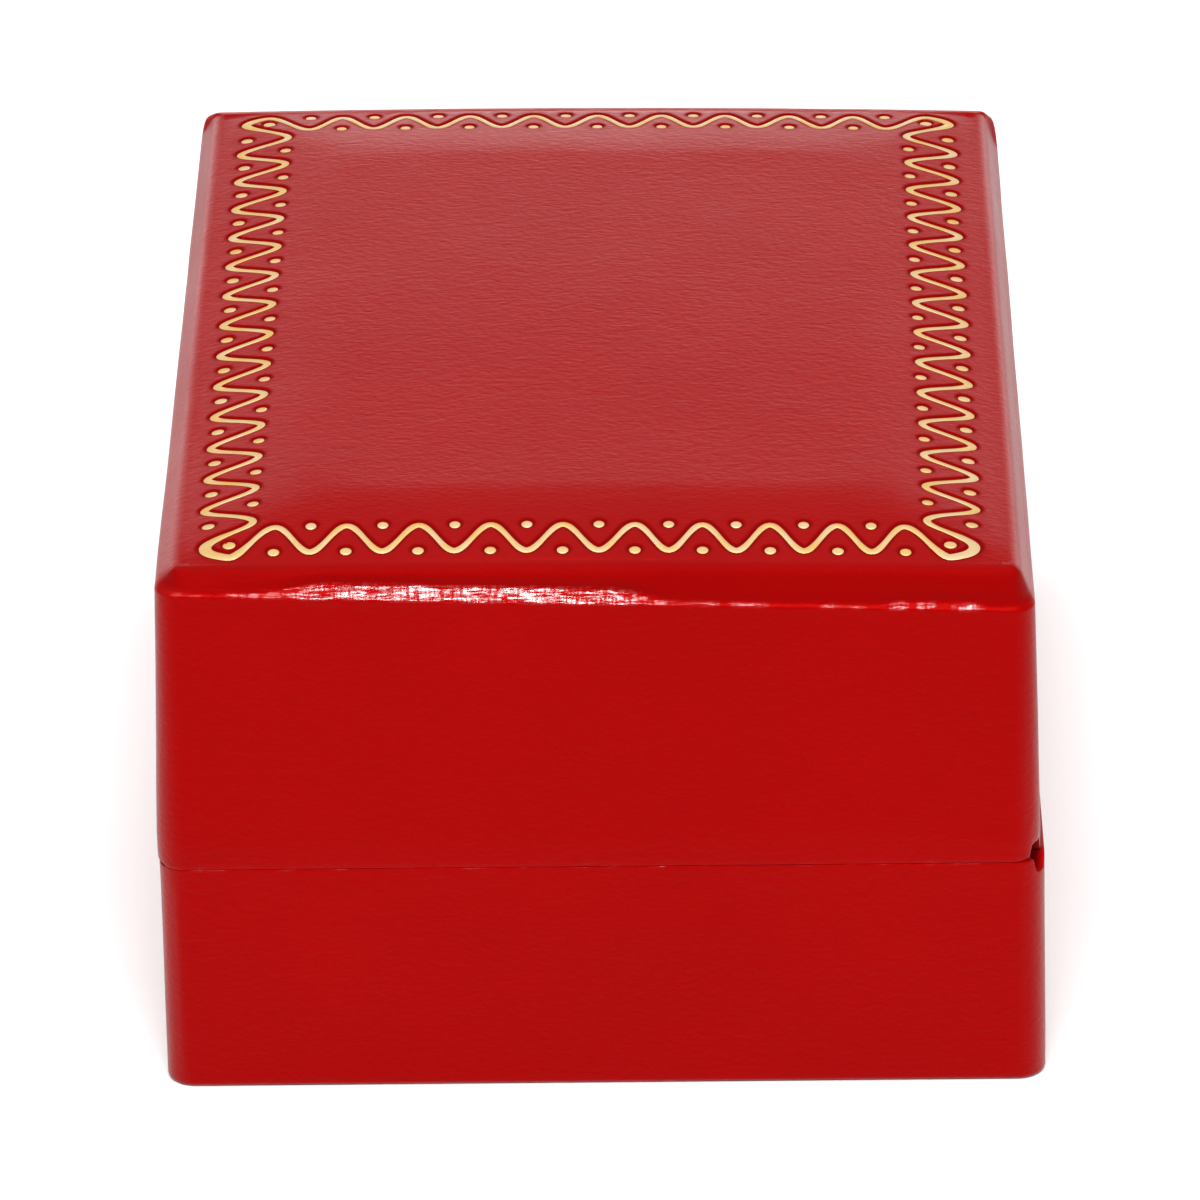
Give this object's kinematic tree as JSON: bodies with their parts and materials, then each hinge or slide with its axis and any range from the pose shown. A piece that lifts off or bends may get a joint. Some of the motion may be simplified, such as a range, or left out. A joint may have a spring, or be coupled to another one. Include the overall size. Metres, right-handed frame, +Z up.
{
  "type": "ring box",
  "caption": "Hinged snap-lid jewellery box that holds a ring upright in a slotted velvet pad under a satin-lined lid.",
  "frame": {"origin": "middle of the box's footprint on its resting plane", "axes": "+Z up, the front faces -Y, the hinge runs along X at +Y"},
  "size_m": [0.054, 0.069, 0.0362],
  "materials": {
    "red_leatherette": "satin-gloss red leatherette with a fine grain, gold foil wave-and-dot border on the lid",
    "moulded_shell": "plain moulded",
    "greyboard": "uncoated",
    "pad_foam": "open-cell foam",
    "black_velvet": "short-pile velvet",
    "white_satin": "satin weave",
    "hinge_steel": "nickel-plated pressed steel"
  },
  "bodies": {
    "base": {"base_shell": "moulded_shell", "base_wrap": "red_leatherette", "base_bottom_panel": "red_leatherette", "insert_board": "greyboard", "ring_pad_foam_front": "pad_foam", "ring_pad_foam_rear": "pad_foam", "ring_pad_velvet_front": "black_velvet", "ring_pad_velvet_rear": "black_velvet", "hinge_leaf_lower": "hinge_steel", "hinge_rivet_lower_left": "hinge_steel", "hinge_rivet_lower_right": "hinge_steel", "hinge_pin": "hinge_steel"},
    "lid": {"lid_shell": "moulded_shell", "lid_wrap": "red_leatherette", "lid_board": "greyboard", "lid_foam": "pad_foam", "lid_satin_pad": "white_satin", "lid_lining_front": "white_satin", "lid_lining_rear": "white_satin", "lid_lining_left": "white_satin", "lid_lining_right": "white_satin", "hinge_leaf_upper": "hinge_steel", "hinge_rivet_upper_left": "hinge_steel", "hinge_rivet_upper_right": "hinge_steel"},
    "spring": {"hinge_spring": "hinge_steel"}
  },
  "joints": [
    {"name": "lid_hinge", "type": "hinge", "parent": "base", "child": "lid", "pos_m": [0, 0.0331, 0.0153], "axis": [-1, 0, 0], "range_deg": [0, 95]},
    {"name": "spring_swing", "type": "hinge", "parent": "base", "child": "spring", "pos_m": [0, 0.03143, 0.0113], "axis": [-1, 0, 0], "range_deg": [0, 47.5]}
  ],
  "couplings": [
    {"joint": "spring_swing", "follows": "lid_hinge", "ratio": 0.5}
  ]
}
